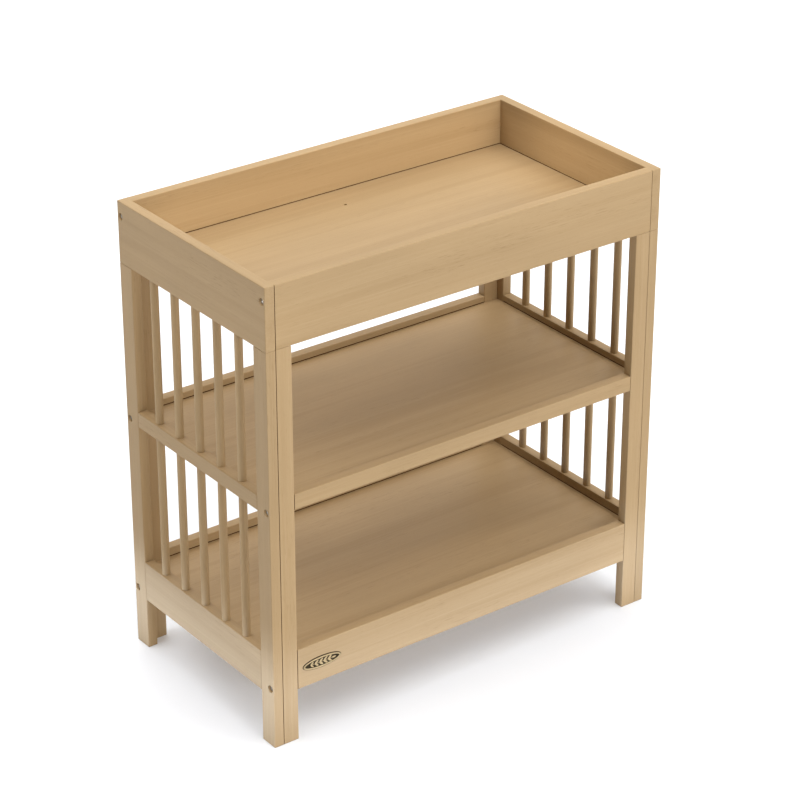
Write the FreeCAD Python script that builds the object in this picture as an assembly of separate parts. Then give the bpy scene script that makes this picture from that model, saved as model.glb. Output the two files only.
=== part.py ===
"""Open baby changing table: a shallow tray on four L-shaped legs, two shelves and
spindled ends. Sizes in mm. Origin on the floor under the middle of the table,
+X along its length to the right, the front faces -Y, +Z up."""
import FreeCAD, Part
import math
import os

os.makedirs("parts", exist_ok=True)

# ---- overall sizes -----------------------------------------------------------
LENGTH = 860.0          # outside, left end to right end
DEPTH = 458.0           # outside, front to back
HEIGHT = 900.0          # floor to the top of the tray boards
BOARD = 20.0            # thickness of every tray board, post, strip and rail
EASE = 1.5              # rounding on every edge of the boards

# ---- tray --------------------------------------------------------------------
TRAY_BOARD_H = 119.0
TRAY_SURFACE = 810.5    # height of the floor panel the pad lies on
TRAY_PANEL_T = 10.0
TRAY_SLOT = 1.5         # open slot above the floor panel in the boards' grooves
STRAP_HOLE_R = 3.2
STRAP_HOLE_FROM_BACK = 84.5

# ---- legs --------------------------------------------------------------------
POST_Y = 38.0           # side post, front to back
STRIP_X = 32.0          # front or back strip, along the length

# ---- rails and shelves -------------------------------------------------------
MID_TOP = 497.5
MID_H = 30.0
LOW_TOP = 185.0
LOW_H = 81.0
MID_SURFACE = 484.0
LOW_SURFACE = 167.0
SHELF_T = 9.5
SHELF_SLOT = 1.8        # open slot above the shelf in the rails' grooves

# ---- grooves that hold the panels ---------------------------------------------
GROOVE = 5.0            # depth of groove
TONGUE = 4.0            # how far a panel reaches into it
PANEL_REBATE = 1.0      # the tongue lies this far below the panel's surface
PANEL_GAP = 0.3         # between a panel's face and the boards round it
NOTCH_FIT = 0.6         # between a panel's corner notch and the leg
UNDER_FIT = 0.1         # gap under a tongue

# ---- seams ---------------------------------------------------------------------
SEAM_W = 0.8            # shadow line cut beside each upright joint, front and back
SEAM_DEEP = 3.5

# ---- spindles ----------------------------------------------------------------
SPINDLES = 5
SPINDLE_D = 15.0
TENON_D = 10.0
TENON_UP = 12.0         # into the end panel
TENON_DOWN = 12.0       # into the bottom rail
TENON_MID_TOP = 9.0     # into the top of the mid rail
TENON_MID_UNDER = 6.0   # into the underside of the mid rail

# ---- bolts and threaded inserts ------------------------------------------------
BOLT_D = 6.0
BOLT_L = 30.0
HEAD_D = 11.0
HEAD_H = 3.8
HEX_AF = 5.0
HEX_DEEP = 2.6
HEAD_DOME = 0.7         # how far the head swells up from its rim
TIP_EDGE = 0.8          # chamfer at the shank's tip
SINK_D = 14.0
SINK_DEEP = 7.0
BOLT_HOLE_D = 6.6
INSERT_D = 10.0
INSERT_L = 13.5
INSERT_BORE_D = 6.1
INSERT_SUNK = 0.5       # below the face it is driven into
INSERT_ROOM = 1.0       # free depth past the insert
TIP_ROOM = 4.0          # free depth past the bolt's tip
BOLT_Z_TRAY = 871.5
BOLT_Z_MID = 474.0
BOLT_Z_LOW = 119.5

# ---- locating pins -------------------------------------------------------------
PIN_D = 6.0
PIN_L = 24.0
LEG_PIN_D = 8.0
LEG_PIN_L = 30.0
FIT = 0.05              # radial gap round pins, tenons and inserts
END_GAP = 0.5           # gap past the end of a pin or tenon in its blind hole
PIN_EDGE = 0.7          # chamfer at both ends of a pin
LEG_PIN_PLACE = 0.66    # how far back the post's pin stands, as a share of the post
RAIL_PIN_PLACE = 0.25   # how far in from a rail's edges its pins stand, as a share

# ---- badge ---------------------------------------------------------------------
BADGE_L = 83.0
BADGE_H = 24.0
BADGE_T = 1.6
BADGE_FIELD_T = 0.6     # the sunk field and the low border
BADGE_BORDER = 1.5      # low border outside the raised rim
BADGE_RIM = 2.8
BADGE_FROM_END = 104.0
BADGE_PIN_D = 3.0
BADGE_PIN_L = 8.0
BADGE_PIN_OFF = 28.0
LEAVES = 5              # pairs of leaves
LEAF = 5.0              # half the length of the longest leaf
LEAF_SLIM = 0.40        # width over length
LEAF_TILT = 40.0
LEAF_STEP = 9.5
LEAF_FIRST = -25.0
LEAF_LAST = 21.0
LEAF_REACH = 40.0       # the leaves shrink to nothing this far from the middle
LEAF_TOP = 1.4          # how far the leaves and stem stand out from the rail
STEM_HALF = 0.45

V = FreeCAD.Vector
X0, X1 = -LENGTH / 2, LENGTH / 2
Y0, Y1 = -DEPTH / 2, DEPTH / 2
TRAY_BOTTOM = HEIGHT - TRAY_BOARD_H
LEG_X = BOARD + STRIP_X
SIDES = {"left": -1, "right": 1}
FACES = {"front": -1, "back": 1}


def save(name, shape):
    """Write one named sub-part."""
    shape.exportStep("parts/" + name + ".step")


def block(x0, x1, y0, y1, z0, z1):
    return Part.makeBox(x1 - x0, y1 - y0, z1 - z0, V(x0, y0, z0))


def board(x0, x1, y0, y1, z0, z1, left_sharp=None):
    """A planed length of timber, its edges eased except those named as left sharp."""
    b = block(x0, x1, y0, y1, z0, z1)
    edges = [e for e in b.Edges if not (left_sharp and left_sharp(e.CenterOfMass))]
    return b.makeFillet(EASE, edges)


def rod(d, length, start, way):
    """A round bar or bore of diameter d from a point, along a direction."""
    return Part.makeCylinder(d / 2, length, start, way)


def group(shapes):
    return Part.makeCompound(shapes)


def x_at(side, inset):
    """X of a point so far in from the left or right end."""
    return SIDES[side] * (LENGTH / 2 - inset)


def y_at(face, inset):
    """Y of a point so far in from the front or back."""
    return FACES[face] * (DEPTH / 2 - inset)


def span(a, b):
    return (min(a, b), max(a, b))


# ---- panel grooves: the space each panel's edge sits in --------------------------
def groove(surface, thick, slot):
    """What is cut from the inner faces of the boards round a panel."""
    low = surface - thick - UNDER_FIT
    wall = BOARD - GROOVE
    return block(X0 + wall, X1 - wall, Y0 + wall, Y1 - wall, low, surface + slot)


TRAY_GROOVE = groove(TRAY_SURFACE, TRAY_PANEL_T, TRAY_SLOT)
MID_GROOVE = groove(MID_SURFACE, SHELF_T, SHELF_SLOT)
LOW_GROOVE = groove(LOW_SURFACE, SHELF_T, SHELF_SLOT)


# ---- seams: a thin shadow line beside an upright joint ----------------------------
def seam(side, inset, face):
    """What is cut from the outer face of a board just past a joint plane."""
    x = span(x_at(side, inset), x_at(side, inset + SEAM_W))
    y = span(y_at(face, 0), y_at(face, SEAM_DEEP))
    return block(x[0], x[1], y[0], y[1], 0, HEIGHT)


def round_over(side):
    """What is taken off an end panel's inner top edge between the long boards."""
    x = span(x_at(side, BOARD), x_at(side, BOARD - EASE))
    length = DEPTH - 2 * BOARD
    waste = block(x[0], x[1], Y0 + BOARD, Y1 - BOARD, HEIGHT - EASE, HEIGHT)
    core = V(x_at(side, BOARD - EASE), Y0 + BOARD, HEIGHT - EASE)
    return waste.cut(rod(2 * EASE, length, core, V(0, 1, 0)))


# ---- bolts: each enters an end and screws into an insert in the board behind -------
def bolt_bores(side, face, z):
    """Counterbore, clearance hole and insert bore on one bolt's axis."""
    inward = V(-SIDES[side], 0, 0)
    y = y_at(face, BOARD / 2)
    sink = rod(SINK_D, SINK_DEEP, V(x_at(side, 0), y, z), inward)
    hole = rod(BOLT_HOLE_D, BOARD, V(x_at(side, 0), y, z), inward)
    seat_l = INSERT_L + INSERT_ROOM
    seat = rod(INSERT_D + 2 * FIT, seat_l, V(x_at(side, BOARD), y, z), inward)
    tip = rod(BOLT_HOLE_D, TIP_ROOM, V(x_at(side, BOARD + seat_l), y, z), inward)
    return sink.fuse(hole), seat.fuse(tip)


def bolt(side, face, z):
    """Bolt with a low domed head and a hex socket."""
    inward = V(-SIDES[side], 0, 0)
    y = y_at(face, BOARD / 2)
    seat = V(x_at(side, SINK_DEEP), y, z)
    outer = V(x_at(side, SINK_DEEP - HEAD_H), y, z)
    curve = ((HEAD_D / 2) ** 2 + HEAD_DOME ** 2) / (2 * HEAD_DOME)
    dome = Part.makeSphere(curve, outer + inward * curve)
    head = rod(HEAD_D, HEAD_H, outer, inward).common(dome)
    shank = rod(BOLT_D, BOLT_L, seat, inward)
    tip = [e for e in shank.Edges
           if abs(e.CenterOfMass.x - x_at(side, SINK_DEEP + BOLT_L)) < 0.01 and e.Closed]
    shank = shank.makeChamfer(TIP_EDGE, tip)
    radius = HEX_AF / math.sqrt(3)
    corners = []
    for k in range(7):
        a = math.radians(60 * k)
        corners.append(V(outer.x, y + radius * math.cos(a), z + radius * math.sin(a)))
    socket = Part.Face(Part.makePolygon(corners)).extrude(inward * HEX_DEEP)
    return head.fuse(shank).cut(socket).removeSplitter()


def insert(side, face, z):
    """Brass threaded insert, just below the surface it is driven into."""
    inward = V(-SIDES[side], 0, 0)
    start = V(x_at(side, BOARD + INSERT_SUNK), y_at(face, BOARD / 2), z)
    body = rod(INSERT_D, INSERT_L, start, inward)
    bore = rod(INSERT_BORE_D, INSERT_L, start, inward)
    return body.cut(bore)


# ---- spindle positions: equal gaps between the posts --------------------------------
CLEAR_Y = DEPTH - 2 * POST_Y
SPINDLE_GAP = (CLEAR_Y - SPINDLES * SPINDLE_D) / (SPINDLES + 1)


def spindle_y(i):
    return Y0 + POST_Y + SPINDLE_GAP + SPINDLE_D / 2 + i * (SPINDLE_GAP + SPINDLE_D)


def spindle(side, i, z0, z1, tenon_low, tenon_high):
    """Round spindle with a turned tenon at each end."""
    x = x_at(side, BOARD / 2)
    y = spindle_y(i)
    body = rod(SPINDLE_D, z1 - z0, V(x, y, z0), V(0, 0, 1))
    stub_l = tenon_low + tenon_high - 2 * END_GAP + (z1 - z0)
    stub = rod(TENON_D, stub_l, V(x, y, z0 - tenon_low + END_GAP), V(0, 0, 1))
    return body.fuse(stub).removeSplitter()


def tenon_holes(side, z, deep, way):
    """The row of blind holes that take the spindles' tenons."""
    x = x_at(side, BOARD / 2)
    d = TENON_D + 2 * FIT
    return [rod(d, deep, V(x, spindle_y(i), z), V(0, 0, way)) for i in range(SPINDLES)]


# ---- locating pins in the butt joints -------------------------------------------------
def pin(d, length, middle, way):
    """A wooden pin, chamfered at both ends, centred on the joint."""
    start = middle - way * (length / 2)
    p = rod(d, length, start, way)
    ends = [e for e in p.Edges if e.Closed]
    return p.makeChamfer(PIN_EDGE, ends)


def pin_hole(d, length, middle, way):
    whole = length + 2 * END_GAP
    return rod(d + 2 * FIT, whole, middle - way * (whole / 2), way)


def rail_pin_heights(top, high):
    """Two pins up a rail's end, the same way in from both edges."""
    off = high * RAIL_PIN_PLACE
    return [top - off, top - high + off]


RAILS = {"mid": (MID_TOP, MID_H), "bottom": (LOW_TOP, LOW_H)}
X_WAY, Y_WAY, Z_WAY = V(1, 0, 0), V(0, 1, 0), V(0, 0, 1)


def long_rail_pins(face):
    """Joint centres between the leg strips and the front or back rails."""
    out = []
    for side in SIDES:
        for top, high in RAILS.values():
            for z in rail_pin_heights(top, high):
                out.append(V(x_at(side, LEG_X), y_at(face, BOARD / 2), z))
    return out


def end_rail_pins(side):
    """Joint centres between the side posts and the end rails."""
    out = []
    for face in FACES:
        for top, high in RAILS.values():
            for z in rail_pin_heights(top, high):
                out.append(V(x_at(side, BOARD / 2), y_at(face, POST_Y), z))
    return out


def leg_pins(side, face):
    """Joint centres on top of one leg: the post's and the strip's."""
    post = V(x_at(side, BOARD / 2), y_at(face, POST_Y * LEG_PIN_PLACE), TRAY_BOTTOM)
    strip = V(x_at(side, BOARD + STRIP_X / 2), y_at(face, BOARD / 2), TRAY_BOTTOM)
    return post, strip


# ---- panels -----------------------------------------------------------------------------
def panel(surface, thick, notched):
    """A panel with a rebated tongue round it, notched round the legs if asked."""
    edge = BOARD - TONGUE
    field = BOARD + PANEL_GAP
    low = surface - thick
    step = surface - PANEL_REBATE
    tongue = block(X0 + edge, X1 - edge, Y0 + edge, Y1 - edge, low, step)
    face = block(X0 + field, X1 - field, Y0 + field, Y1 - field, step, surface)
    p = tongue.fuse(face)
    if notched:
        for side in SIDES:
            for fr in FACES:
                xa = span(x_at(side, 0), x_at(side, BOARD + NOTCH_FIT))
                ya = span(y_at(fr, 0), y_at(fr, POST_Y + NOTCH_FIT))
                xb = span(x_at(side, 0), x_at(side, LEG_X + NOTCH_FIT))
                yb = span(y_at(fr, 0), y_at(fr, BOARD + NOTCH_FIT))
                p = p.cut(block(xa[0], xa[1], ya[0], ya[1], low - 1, surface + 1))
                p = p.cut(block(xb[0], xb[1], yb[0], yb[1], low - 1, surface + 1))
    return p.removeSplitter()


# ---- tray boards ---------------------------------------------------------------------------
for face in FACES:
    y = span(y_at(face, 0), y_at(face, BOARD))
    seamless = y_at(face, BOARD / 2) * FACES[face]
    b = board(X0 + BOARD, X1 - BOARD, y[0], y[1], TRAY_BOTTOM, HEIGHT,
              lambda c: abs(c.x) > X1 - BOARD - EASE and c.y * FACES[face] < seamless + EASE)
    b = b.cut(TRAY_GROOVE)
    for side in SIDES:
        b = b.cut(seam(side, BOARD, face))
        b = b.cut(bolt_bores(side, face, BOLT_Z_TRAY)[1])
        b = b.cut(pin_hole(LEG_PIN_D, LEG_PIN_L, leg_pins(side, face)[1], Z_WAY))
    save("tray_" + face + "_board", b)

for side in SIDES:
    x = span(x_at(side, 0), x_at(side, BOARD))
    b = board(x[0], x[1], Y0, Y1, TRAY_BOTTOM, HEIGHT,
              lambda c: c.z > HEIGHT - EASE and abs(c.x - x_at(side, BOARD)) < EASE)
    b = b.cut(round_over(side)).cut(TRAY_GROOVE)
    for face in FACES:
        b = b.cut(bolt_bores(side, face, BOLT_Z_TRAY)[0])
        b = b.cut(pin_hole(LEG_PIN_D, LEG_PIN_L, leg_pins(side, face)[0], Z_WAY))
    for hole in tenon_holes(side, TRAY_BOTTOM, TENON_UP, 1):
        b = b.cut(hole)
    save("tray_" + side + "_end_panel", b)

floor_panel = panel(TRAY_SURFACE, TRAY_PANEL_T, False)
strap_at = V(0, Y1 - STRAP_HOLE_FROM_BACK, TRAY_SURFACE - TRAY_PANEL_T - 1)
save("tray_floor_panel", floor_panel.cut(rod(2 * STRAP_HOLE_R, TRAY_PANEL_T + 2, strap_at, Z_WAY)))

# ---- legs -------------------------------------------------------------------------------------
for side in SIDES:
    for face in FACES:
        x = span(x_at(side, 0), x_at(side, BOARD))
        y = span(y_at(face, 0), y_at(face, POST_Y))
        post = board(x[0], x[1], y[0], y[1], 0, TRAY_BOTTOM)
        x = span(x_at(side, BOARD), x_at(side, LEG_X))
        y = span(y_at(face, 0), y_at(face, BOARD))
        strip = board(x[0], x[1], y[0], y[1], 0, TRAY_BOTTOM)
        strip = strip.cut(seam(side, BOARD, face))
        for z in (BOLT_Z_MID, BOLT_Z_LOW):
            outer, inner = bolt_bores(side, face, z)
            post = post.cut(outer)
            strip = strip.cut(inner)
        top_post, top_strip = leg_pins(side, face)
        post = post.cut(pin_hole(LEG_PIN_D, LEG_PIN_L, top_post, Z_WAY))
        strip = strip.cut(pin_hole(LEG_PIN_D, LEG_PIN_L, top_strip, Z_WAY))
        for at in end_rail_pins(side):
            if at.y * FACES[face] > 0:
                post = post.cut(pin_hole(PIN_D, PIN_L, at, Y_WAY))
        for at in long_rail_pins(face):
            if at.x * SIDES[side] > 0:
                strip = strip.cut(pin_hole(PIN_D, PIN_L, at, X_WAY))
        save(side + "_" + face + "_post", post)
        save(side + "_" + face + "_leg_strip", strip)

# ---- badge: oval plate with a raised rim and a leaf sprig --------------------------------------
BADGE_X = X0 + BADGE_FROM_END
BADGE_Z = LOW_TOP - LOW_H / 2


def oval(length, high, thick, y):
    """An oval slab whose back lies at the given y, standing out towards the front."""
    curve = Part.Ellipse(V(0, 0, 0), length / 2, high / 2)
    slab = Part.Face(Part.Wire(curve.toShape())).extrude(V(0, 0, thick))
    slab.rotate(V(0, 0, 0), V(1, 0, 0), 90)
    slab.translate(V(BADGE_X, y, BADGE_Z))
    return slab


def leaf(along, tilt):
    """One raised leaf of the sprig, smaller towards the ends of the plate."""
    size = LEAF * math.sqrt(1 - (along / LEAF_REACH) ** 2)
    curve = Part.Ellipse(V(0, 0, 0), size, size * LEAF_SLIM)
    face = Part.Face(Part.Wire(curve.toShape()))
    slab = face.extrude(V(0, 0, LEAF_TOP - BADGE_FIELD_T / 2))
    slab.translate(V(size, 0, 0))
    slab.rotate(V(0, 0, 0), V(0, 0, 1), tilt)
    slab.translate(V(along, 0, 0))
    slab.rotate(V(0, 0, 0), V(1, 0, 0), 90)
    slab.translate(V(BADGE_X, Y0 - BADGE_FIELD_T / 2, BADGE_Z))
    return slab


RIM_OUT = 2 * BADGE_BORDER
RIM_IN = RIM_OUT + 2 * BADGE_RIM
rim = oval(BADGE_L - RIM_OUT, BADGE_H - RIM_OUT, BADGE_T, Y0)
rim = rim.cut(oval(BADGE_L - RIM_IN, BADGE_H - RIM_IN, BADGE_T, Y0 - BADGE_FIELD_T))
badge = oval(BADGE_L, BADGE_H, BADGE_FIELD_T, Y0).fuse(rim)
stem = block(BADGE_X + LEAF_FIRST, BADGE_X + LEAF_LAST + LEAF / 2, Y0 - LEAF_TOP,
             Y0 - BADGE_FIELD_T / 2, BADGE_Z - STEM_HALF, BADGE_Z + STEM_HALF)
badge = badge.fuse(stem)
for k in range(LEAVES):
    for tilt in (LEAF_TILT, -LEAF_TILT):
        badge = badge.fuse(leaf(LEAF_FIRST + LEAF_STEP * k, tilt))
badge = badge.fuse(leaf(LEAF_LAST, 0))
badge_pin_holes = []
for off in (-BADGE_PIN_OFF, BADGE_PIN_OFF):
    start = V(BADGE_X + off, Y0 - BADGE_FIELD_T / 2, BADGE_Z)
    badge = badge.fuse(rod(BADGE_PIN_D, BADGE_PIN_L + BADGE_FIELD_T / 2, start, Y_WAY))
    start = V(BADGE_X + off, Y0 - BADGE_T, BADGE_Z)
    hole_l = BADGE_PIN_L + BADGE_T + 2 * END_GAP
    badge_pin_holes.append(rod(BADGE_PIN_D + 2 * FIT, hole_l, start, Y_WAY))
save("badge_plate", badge)

# ---- rails ----------------------------------------------------------------------------------------
GROOVES = {"mid": MID_GROOVE, "bottom": LOW_GROOVE}
for level in RAILS:
    top, high = RAILS[level]
    for face in FACES:
        y = span(y_at(face, 0), y_at(face, BOARD))
        rail = board(X0 + LEG_X, X1 - LEG_X, y[0], y[1], top - high, top)
        rail = rail.cut(GROOVES[level])
        for side in SIDES:
            rail = rail.cut(seam(side, LEG_X, face))
        for at in long_rail_pins(face):
            if top - high < at.z < top:
                rail = rail.cut(pin_hole(PIN_D, PIN_L, at, X_WAY))
        if (level, face) == ("bottom", "front"):
            for hole in badge_pin_holes:
                rail = rail.cut(hole)
        save(face + "_" + level + "_rail", rail)
    for side in SIDES:
        x = span(x_at(side, 0), x_at(side, BOARD))
        rail = board(x[0], x[1], Y0 + POST_Y, Y1 - POST_Y, top - high, top)
        rail = rail.cut(GROOVES[level])
        for at in end_rail_pins(side):
            if top - high < at.z < top:
                rail = rail.cut(pin_hole(PIN_D, PIN_L, at, Y_WAY))
        if level == "mid":
            holes = tenon_holes(side, top, TENON_MID_TOP, -1)
            holes = holes + tenon_holes(side, top - high, TENON_MID_UNDER, 1)
        else:
            holes = tenon_holes(side, top, TENON_DOWN, -1)
        for hole in holes:
            rail = rail.cut(hole)
        save(side + "_" + level + "_rail", rail)

# ---- shelves ----------------------------------------------------------------------------------------
save("mid_shelf_panel", panel(MID_SURFACE, SHELF_T, True))
save("bottom_shelf_panel", panel(LOW_SURFACE, SHELF_T, True))

# ---- spindles ------------------------------------------------------------------------------------------
for side in SIDES:
    for i in range(SPINDLES):
        upper = spindle(side, i, MID_TOP, TRAY_BOTTOM, TENON_MID_TOP, TENON_UP)
        save("%s_upper_spindle_%d" % (side, i + 1), upper)
        lower = spindle(side, i, LOW_TOP, MID_TOP - MID_H, TENON_DOWN, TENON_MID_UNDER)
        save("%s_lower_spindle_%d" % (side, i + 1), lower)

# ---- bolts and inserts ------------------------------------------------------------------------------------
LEVELS = {"tray": BOLT_Z_TRAY, "upper_leg": BOLT_Z_MID, "lower_leg": BOLT_Z_LOW}
for name in LEVELS:
    z = LEVELS[name]
    save(name + "_bolts", group([bolt(s, f, z) for s in SIDES for f in FACES]))
    save(name + "_inserts", group([insert(s, f, z) for s in SIDES for f in FACES]))

# ---- locating pins --------------------------------------------------------------------------------------------
pins = [pin(PIN_D, PIN_L, at, X_WAY) for f in FACES for at in long_rail_pins(f)]
save("long_rail_pins", group(pins))
pins = [pin(PIN_D, PIN_L, at, Y_WAY) for s in SIDES for at in end_rail_pins(s)]
save("end_rail_pins", group(pins))
pins = []
for s in SIDES:
    for f in FACES:
        for at in leg_pins(s, f):
            pins.append(pin(LEG_PIN_D, LEG_PIN_L, at, Z_WAY))
save("leg_top_pins", group(pins))
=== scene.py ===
"""Looks for the changing table: light oiled hardwood on every board, nickel bolts and an
antiqued badge, in soft studio light on a pale floor. Metres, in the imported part's own frame."""

import math

import bpy
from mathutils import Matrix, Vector


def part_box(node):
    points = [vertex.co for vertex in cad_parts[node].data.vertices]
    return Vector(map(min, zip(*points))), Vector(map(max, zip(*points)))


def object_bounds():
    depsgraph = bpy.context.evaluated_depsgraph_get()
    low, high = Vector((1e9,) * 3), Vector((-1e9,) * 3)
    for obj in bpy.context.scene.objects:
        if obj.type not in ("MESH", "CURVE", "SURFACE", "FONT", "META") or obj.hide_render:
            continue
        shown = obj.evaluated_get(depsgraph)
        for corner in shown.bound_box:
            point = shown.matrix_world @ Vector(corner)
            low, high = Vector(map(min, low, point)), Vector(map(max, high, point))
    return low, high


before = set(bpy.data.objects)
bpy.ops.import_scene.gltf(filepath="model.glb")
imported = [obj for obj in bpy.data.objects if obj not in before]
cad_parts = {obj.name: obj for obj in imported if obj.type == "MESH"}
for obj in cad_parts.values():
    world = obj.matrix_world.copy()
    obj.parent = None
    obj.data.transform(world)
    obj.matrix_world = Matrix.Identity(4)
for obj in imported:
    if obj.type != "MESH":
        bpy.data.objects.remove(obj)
CAD_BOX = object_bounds()

# ---- where things are, worked out from the frame ----
LOW, HIGH = (Vector(corner) for corner in CAD_BOX)
CENTRE = (LOW + HIGH) / 2
AXES = {"X": 0, "Y": 1, "Z": 2}

# ---- camera ----
VIEW_TURN = math.radians(36.62)      # turned from straight in front towards the left end
VIEW_DROP = math.radians(27.08)      # looking down
VIEW_DISTANCE = 5.2621
LENS_MM = 128.57
SENSOR_MM = 36.0
CLIP_END = 200.0
AIM_ACROSS = 0.0130                  # the aim point's offset from the table's middle,
AIM_UP = 0.0182                      # across and up in the picture

# ---- light ----
SKY = 0.05                           # the sky's own light; looked at directly, it is white
SUNS = (
    # name, power, turn from the front (degrees, towards the right end), height, spread
    ("overhead", 2.00, 0.0, 88.0, 80.0),
    ("front", 0.84, 0.0, 25.0, 16.0),
    ("front_right", 0.86, 45.0, 50.0, 40.0),
    ("back", 0.40, 180.0, 45.0, 40.0),
    ("back_right", 0.65, 143.0, 36.0, 40.0),
    ("left", 0.72, -110.0, 50.0, 40.0),
)
FILLS = (
    # name, power, turn, height: weak lights that cast no shadow
    ("fill_front_right", 1.40, 50.0, 30.0),
    ("fill_left", 0.08, -90.0, 25.0),
)
SUN_FAR = 4.0
COOL = (0.46, 0.62, 1.0)
WARM = (1.0, 0.90, 0.76)
BOXES = (
    # name, power, the point it faces, turn and height as above, distance, width, tall,
    # grid (degrees), tint
    ("low_front", 0.60, (0.0, -0.23, 0.09), 0.0, 0.0, 2.0, 1.5, 0.16, 5.5, COOL),
    ("low_left", 0.72, (-0.43, 0.0, 0.09), -90.0, 0.0, 2.0, 0.8, 0.18, 5.5, COOL),
    ("tray_back", 0.120, (0.0, 0.21, 0.86), 0.0, 28.0, 2.2, 0.80, 0.08, 6.0, WARM),
    ("tray_right", 0.090, (0.41, -0.05, 0.86), -90.0, 28.0, 2.4, 0.34, 0.08, 6.0, WARM),
)

# ---- floor ----
FLOOR_HALF = 60.0
FLOOR_TONE = 0.84
FLOOR_VARIES = 0.005
FLOOR_WARMTH = (1.020, 1.055)        # green and blue, as shares of red
FLOOR_ROUGH = 0.9
FLOOR_SPECULAR = 0.1
FLOOR_CLOUDS = 0.4                   # scale of the floor's faint clouding

# ---- wood ----
WOOD_BASE = (0.382, 0.260, 0.133, 1.0)
WOOD_DARK = (0.314, 0.203, 0.094, 1.0)
WOOD_PALE = (0.436, 0.309, 0.168, 1.0)
PORE = (0.225, 0.137, 0.061, 1.0)
# painted shade: the colour that slots and seams are darkened towards
SHADE_LINE = (0.085, 0.034, 0.007, 1.0)
LAYERS = {
    # name: stretch along and across the grain, shift, detail, roughness, distortion
    "sway": (2.2, 9.0, 1.0, 2.0, 0.5, 0.0),
    "bands": (0.9, 42.0, 1.7, 3.0, 0.55, 0.35),
    "streaks": (3.2, 240.0, 2.3, 4.0, 0.62, 0.0),
    "fibres": (14.0, 1400.0, 3.1, 2.0, 0.6, 0.0),
    "pores": (55.0, 1900.0, 4.3, 1.0, 0.5, 0.0),
    "clumps": (2.4, 26.0, 5.3, 1.0, 0.5, 0.0),
    "flecks": (34.0, 560.0, 6.1, 2.0, 0.55, 0.0),
}
TINTS = (
    # layer, the values at which it starts and is full, strength, colour
    ("bands", 0.42, 0.70, 0.42, WOOD_DARK),
    ("streaks", 0.45, 0.72, 0.38, WOOD_PALE),
    ("fibres", 0.50, 0.75, 0.22, WOOD_DARK),
    ("pores", 0.66, 0.74, 0.35, PORE),
)
FLECK_RANGE = (0.58, 0.70)           # flecks show between these values of their layer,
CLUMP_RANGE = (0.48, 0.66)           # where the clumps are within these
FLECK_STRENGTH = 0.42
PATCH_RANGE = (0.3, 0.7)
PATCH_VARIES = 0.045                 # slow change of tone along a board
TONE_VARIES = 0.03                   # change of tone from board to board
TONE_STEP = 2.4
SHIFTS = ((7.31, 11), (3.77, 13), (5.19, 17))   # each board's own part of the pattern
SATIN = 0.42                         # roughness of the lacquer
SATIN_VARIES = 0.12                  # more of it on the streaks
CREVICE_ROUGH = 0.45                 # and in the slots
WOOD_SPECULAR = 0.16
FIBRE_RELIEF = 0.35
WOOD_BUMP = (0.25, 0.0002)           # strength and distance

# ---- painted shade in the slots and seams ----
CREVICE = 0.0040                     # how near a facing surface makes a crevice
CREVICE_SAMPLES = 8
CREVICE_RANGE = (0.15, 0.42)         # share of open air, from darkest to clear
# strength of the painted shade in the crevices
CREVICE_DARK = 0.94
GROOVE_ROOM = 0.0016                 # the groove reaches this far past the panel
TONGUE_SHOWN = 0.0039                # width of the panel's tongue inside the groove
GROOVE_OPEN = 0.0024                 # how far the painted shade reaches above and below the panel's surface

# ---- metals ----
NICKEL = ((0.50, 0.49, 0.46, 1.0), (0.40, 0.38, 0.35, 1.0), 0.28, 0.08)   # bright, dull,
BRASS = ((0.80, 0.62, 0.30, 1.0), (0.60, 0.44, 0.20, 1.0), 0.28, 0.12)    # rough, marks
METAL_CLOUDS = (260.0, 4.0, 0.6)     # scale, detail and roughness
METAL_MARKS = (2600.0, 2.0)          # scale and detail
TARNISH_RANGE = (0.35, 0.7)
METAL_BUMP = (0.15, 0.00005)
BADGE_DARK = (0.045, 0.032, 0.015, 1.0)
BADGE_BRIGHT = (0.60, 0.45, 0.24, 1.0)
BADGE_RECESS = (0.0004, 0.0009)      # bright down to the first depth, dark from the second
BADGE_CLOUDS = (900.0, 5.0, 0.65)
BADGE_WEAR = (0.25, 0.6, 0.55, 1.0)  # cloud values, and the shares of bright they leave
BADGE_ROUGH = (0.3, 0.7, 0.34, 0.52)
BADGE_METALLIC = 0.9
BADGE_BUMP = (0.3, 0.0001)


def view_axes():
    """The camera's forward, right and up directions."""
    flat = math.cos(VIEW_DROP)
    forward = Vector((math.sin(VIEW_TURN) * flat, math.cos(VIEW_TURN) * flat, -math.sin(VIEW_DROP)))
    right = forward.cross(Vector((0, 0, 1))).normalized()
    return forward, right, right.cross(forward)


def add_camera():
    forward, right, up = view_axes()
    aim = CENTRE + right * AIM_ACROSS + up * AIM_UP
    data = bpy.data.cameras.new("camera")
    data.lens = LENS_MM
    data.sensor_width = SENSOR_MM
    data.clip_end = CLIP_END
    camera = bpy.data.objects.new("camera", data)
    camera.location = aim - forward * VIEW_DISTANCE
    camera.rotation_euler = forward.to_track_quat("-Z", "Y").to_euler()
    bpy.context.scene.collection.objects.link(camera)
    bpy.context.scene.camera = camera


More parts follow.
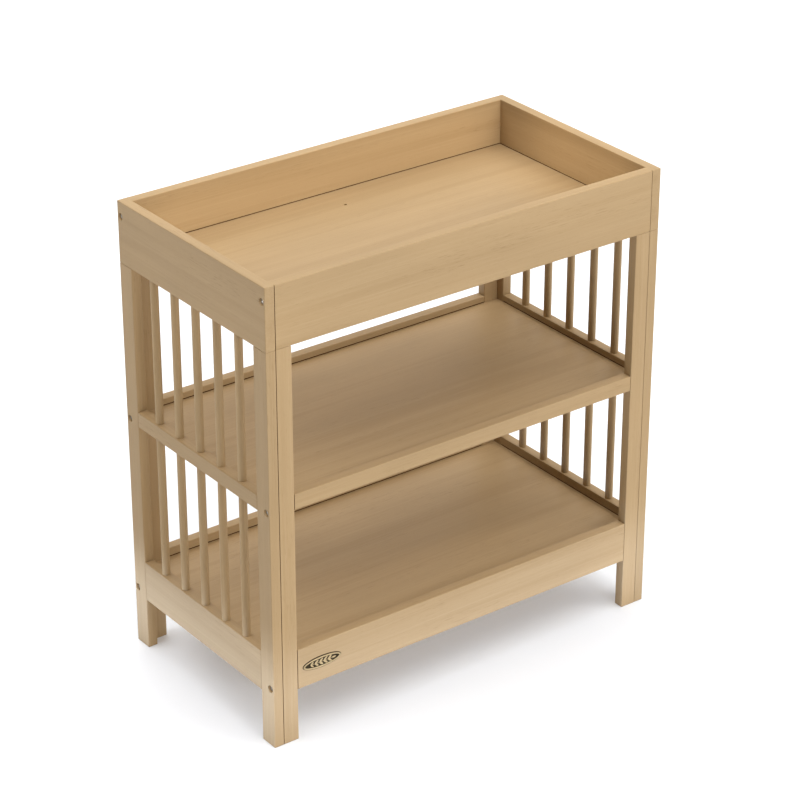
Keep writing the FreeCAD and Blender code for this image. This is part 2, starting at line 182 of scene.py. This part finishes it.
# ---- node helpers ----
class Nodes:
    """A short way to build a node tree: add a node, set its sockets, link its outputs."""

    def __init__(self, tree):
        self.tree = tree
        tree.nodes.clear()

    def add(self, kind, inputs=None, **settings):
        node = self.tree.nodes.new(kind)
        for key, value in settings.items():
            setattr(node, key, value)
        for key, value in (inputs or {}).items():
            self.fill(node.inputs[key], value)
        return node

    def fill(self, socket, value):
        if isinstance(value, bpy.types.NodeSocket):
            self.tree.links.new(value, socket)
        else:
            socket.default_value = value

    def math(self, operation, a, b=0.0):
        return self.add("ShaderNodeMath", {0: a, 1: b}, operation=operation).outputs[0]

    def ramp(self, value, low, high, to_low=0.0, to_high=1.0):
        node = self.add("ShaderNodeMapRange", {
            "Value": value, "From Min": low, "From Max": high,
            "To Min": to_low, "To Max": to_high}, interpolation_type="SMOOTHSTEP")
        return node.outputs["Result"]

    def mix(self, factor, a, b, blend="MIX"):
        node = self.add("ShaderNodeMix", data_type="RGBA", blend_type=blend)
        for key, value in (("Factor_Float", factor), ("A_Color", a), ("B_Color", b)):
            self.fill(next(s for s in node.inputs if s.identifier == key), value)
        return next(s for s in node.outputs if s.identifier == "Result_Color")

    def noise(self, place, scale, detail, roughness=0.5, distortion=0.0):
        return self.add("ShaderNodeTexNoise", {
            "Vector": place, "Scale": scale, "Detail": detail, "Roughness": roughness,
            "Distortion": distortion}).outputs["Fac"]

    def bump(self, height, strength, distance):
        return self.add("ShaderNodeBump", {
            "Strength": strength, "Distance": distance, "Height": height}).outputs[0]

    def place(self):
        return self.add("ShaderNodeTexCoord").outputs["Object"]

    def finish(self, inputs):
        shader = self.add("ShaderNodeBsdfPrincipled", inputs)
        self.add("ShaderNodeOutputMaterial", {"Surface": shader.outputs[0]})


def new_material(name):
    material = bpy.data.materials.new(name)
    material.use_nodes = True
    return material, Nodes(material.node_tree)


# ---- wood ----
def stretched(n, place, axis, along, across, shift):
    """Coordinates squeezed across the grain and drawn out along it."""
    scale = [across] * 3
    scale[AXES[axis]] = along
    return n.add("ShaderNodeMapping", {
        "Vector": place, "Scale": scale, "Location": shift}).outputs[0]


def groove_shade_mask(n, place, panel):
    """One inside the open groove round a panel's edge, where shade is painted, nought everywhere
    else.
    """
    low, high = (Vector(corner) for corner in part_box(panel))
    half = (high - low) / 2
    middle = (high + low) / 2
    axes = n.add("ShaderNodeSeparateXYZ", {"Vector": place})
    across = n.math("ABSOLUTE", n.math("SUBTRACT", axes.outputs["X"], middle.x))
    deep = n.math("ABSOLUTE", n.math("SUBTRACT", axes.outputs["Y"], middle.y))
    near = n.math("MULTIPLY", n.math("LESS_THAN", across, half.x + GROOVE_ROOM),
                  n.math("LESS_THAN", deep, half.y + GROOVE_ROOM))
    past = n.math("MAXIMUM", n.math("GREATER_THAN", across, half.x - TONGUE_SHOWN),
                  n.math("GREATER_THAN", deep, half.y - TONGUE_SHOWN))
    below_top = n.math("LESS_THAN", axes.outputs["Z"], high.z + GROOVE_OPEN)
    above_foot = n.math("GREATER_THAN", axes.outputs["Z"], high.z - GROOVE_OPEN)
    level = n.math("MULTIPLY", below_top, above_foot)
    return n.math("MULTIPLY", n.math("MULTIPLY", near, past), level)


def painted_slot_shade(n, place, panel):
    """How much painted shade a point gets for lying in a slot or a seam, from nought to one."""
    open_air = n.add("ShaderNodeAmbientOcclusion", {"Distance": CREVICE},
                     samples=CREVICE_SAMPLES).outputs["AO"]
    crevice = n.ramp(open_air, *CREVICE_RANGE, CREVICE_DARK, 0.0)
    if panel:
        crevice = n.math("MAXIMUM", crevice, groove_shade_mask(n, place, panel))
    return crevice


def wood(name, axis, seed, panel):
    """Straight-grained light hardwood under a satin lacquer, with painted shade in its slots and
    seams; the grain runs along the axis.
    """
    material, n = new_material(name)
    place = n.place()
    shift = Vector([step * seed % wrap for step, wrap in SHIFTS])
    layers = {}
    for layer, (along, across, moved, detail, roughness, distortion) in LAYERS.items():
        drawn = stretched(n, place, axis, along, across, shift * moved)
        layers[layer] = n.noise(drawn, 1.0, detail, roughness, distortion)

    colour = WOOD_BASE
    amounts = {}
    for layer, low, high, strength, tint in TINTS:
        amounts[layer] = n.math("MULTIPLY", n.ramp(layers[layer], low, high), strength)
        colour = n.mix(amounts[layer], colour, tint)
    dashes = n.math("MULTIPLY", n.ramp(layers["flecks"], *FLECK_RANGE),
                    n.ramp(layers["clumps"], *CLUMP_RANGE))
    colour = n.mix(n.math("MULTIPLY", dashes, FLECK_STRENGTH), colour, PORE)
    # painted shade: slots and seams are darkened towards SHADE_LINE, and the same mask makes them
    # rougher
    crevice = painted_slot_shade(n, place, panel)
    colour = n.mix(crevice, colour, SHADE_LINE)
    tone = 1.0 + TONE_VARIES * math.sin(TONE_STEP * seed)
    patch = n.ramp(layers["sway"], *PATCH_RANGE, tone - PATCH_VARIES, tone + PATCH_VARIES)
    shade = n.add("ShaderNodeCombineColor", {"Red": patch, "Green": patch, "Blue": patch})
    colour = n.mix(1.0, colour, shade.outputs[0], "MULTIPLY")

    rough = n.math("ADD", n.math("MULTIPLY", layers["streaks"], SATIN_VARIES), SATIN)
    rough = n.math("ADD", rough, n.math("MULTIPLY", crevice, CREVICE_ROUGH))
    height = n.math("SUBTRACT", n.math("MULTIPLY", layers["fibres"], FIBRE_RELIEF),
                    amounts["pores"])
    n.finish({
        "Base Color": colour, "Roughness": rough, "Normal": n.bump(height, *WOOD_BUMP),
        "Specular IOR Level": WOOD_SPECULAR})
    return material


# ---- metals ----
def metal(name, bright, dull, rough, marked):
    """Satin metal with fine turning marks and a little tarnish."""
    material, n = new_material(name)
    place = n.place()
    cloud = n.noise(place, *METAL_CLOUDS)
    marks = n.noise(place, *METAL_MARKS)
    colour = n.mix(n.ramp(cloud, *TARNISH_RANGE), bright, dull)
    roughness = n.math("ADD", n.math("MULTIPLY", marks, marked), rough)
    n.finish({
        "Base Color": colour, "Roughness": roughness, "Metallic": 1.0,
        "Normal": n.bump(marks, *METAL_BUMP)})
    return material


def badge_metal(name):
    """Antiqued bronze: bright where it stands proud, dark in the recess."""
    material, n = new_material(name)
    place = n.place()
    depth = n.add("ShaderNodeSeparateXYZ", {"Vector": place}).outputs["Y"]
    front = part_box("badge_plate")[0][1]
    bright_to, dark_from = BADGE_RECESS
    raised = n.ramp(depth, front + bright_to, front + dark_from, 1.0, 0.0)
    cloud = n.noise(place, *BADGE_CLOUDS)
    worn = n.math("MULTIPLY", raised, n.ramp(cloud, *BADGE_WEAR))
    n.finish({
        "Base Color": n.mix(worn, BADGE_DARK, BADGE_BRIGHT),
        "Roughness": n.ramp(cloud, *BADGE_ROUGH), "Metallic": BADGE_METALLIC,
        "Normal": n.bump(cloud, *BADGE_BUMP)})
    return material


# ---- which finish each CAD piece takes ----
def grain_axis(node):
    """The piece's longest side, which is the way its grain runs."""
    low, high = (Vector(corner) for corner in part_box(node))
    size = high - low
    return max(AXES, key=lambda name: size[AXES[name]])


def panel_beside(node):
    """The panel this piece is, or the panel whose edge it is grooved for."""
    for word, panel in (("tray", "tray_floor_panel"), ("mid", "mid_shelf_panel"),
                        ("bottom", "bottom_shelf_panel")):
        if word in node and node.endswith(("_panel", "_board", "_rail")):
            return panel
    return None


def finish_for(node, seed):
    if node.endswith("_bolts"):
        return metal("nickel_" + node, *NICKEL)
    if node.endswith("_inserts"):
        return metal("brass_" + node, *BRASS)
    if node == "badge_plate":
        return badge_metal("antique_bronze")
    return wood("wood_" + node, grain_axis(node), seed, panel_beside(node))


def dress():
    for seed, node in enumerate(sorted(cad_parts), 1):
        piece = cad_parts[node]
        material = finish_for(node, seed)
        if not piece.material_slots:
            piece.data.materials.append(material)
        for slot in piece.material_slots:
            slot.link = "OBJECT"
            slot.material = material


# ---- floor and light ----
def add_floor():
    """A wide pale floor, in one piece, under the table's feet."""
    half = FLOOR_HALF
    corners = [(-half, -half), (half, -half), (half, half), (-half, half)]
    mesh = bpy.data.meshes.new("floor")
    mesh.from_pydata([(x, y, LOW.z) for x, y in corners], [], [(0, 1, 2, 3)])
    floor = bpy.data.objects.new("floor", mesh)
    bpy.context.scene.collection.objects.link(floor)
    material, n = new_material("pale_floor")
    soft = n.noise(n.place(), FLOOR_CLOUDS, 1.0)
    level = n.ramp(soft, *PATCH_RANGE, FLOOR_TONE - FLOOR_VARIES, FLOOR_TONE + FLOOR_VARIES)
    green, blue = (n.math("MULTIPLY", level, share) for share in FLOOR_WARMTH)
    colour = n.add("ShaderNodeCombineColor", {"Red": level, "Green": green, "Blue": blue})
    n.finish({
        "Base Color": colour.outputs[0], "Roughness": FLOOR_ROUGH,
        "Specular IOR Level": FLOOR_SPECULAR})
    mesh.materials.append(material)


def towards(turn, height):
    """Which way a light lies. Turn is measured from the front, towards the right end."""
    a, h = math.radians(turn), math.radians(height)
    return Vector((math.sin(a) * math.cos(h), -math.cos(a) * math.cos(h), math.sin(h)))


def hang(name, data, target, source, distance):
    """Put a light out from its target, facing it."""
    light = bpy.data.objects.new(name, data)
    light.location = target + source * distance
    light.rotation_euler = (-source).to_track_quat("-Z", "Y").to_euler()
    bpy.context.scene.collection.objects.link(light)


def add_sun(name, power, turn, height, spread=0.0, shadow=True):
    """A soft far light."""
    data = bpy.data.lights.new(name, "SUN")
    data.energy = power
    data.angle = math.radians(spread)
    data.use_shadow = shadow
    hang(name, data, CENTRE, towards(turn, height), SUN_FAR)


def add_box(name, power, target, turn, height, distance, width, tall, grid, tint):
    """A soft box with a grid on it, so that it lights only what it faces."""
    data = bpy.data.lights.new(name, "AREA")
    data.shape = "RECTANGLE"
    data.size = width
    data.size_y = tall
    data.spread = math.radians(grid)
    data.energy = power
    data.color = tint
    hang(name, data, Vector(target), towards(turn, height), distance)


def add_light():
    world = bpy.data.worlds.new("studio")
    bpy.context.scene.world = world
    world.use_nodes = True
    n = Nodes(world.node_tree)
    seen = n.add("ShaderNodeLightPath").outputs["Is Camera Ray"]
    background = n.add("ShaderNodeBackground", {
        "Color": (1, 1, 1, 1), "Strength": n.math("MAXIMUM", seen, SKY)})
    n.add("ShaderNodeOutputWorld", {"Surface": background.outputs[0]})
    for sun in SUNS:
        add_sun(*sun)
    for fill in FILLS:
        add_sun(*fill, shadow=False)
    for box in BOXES:
        add_box(*box)
    bpy.context.scene.view_settings.view_transform = "Standard"


add_camera()
dress()
add_floor()
add_light()
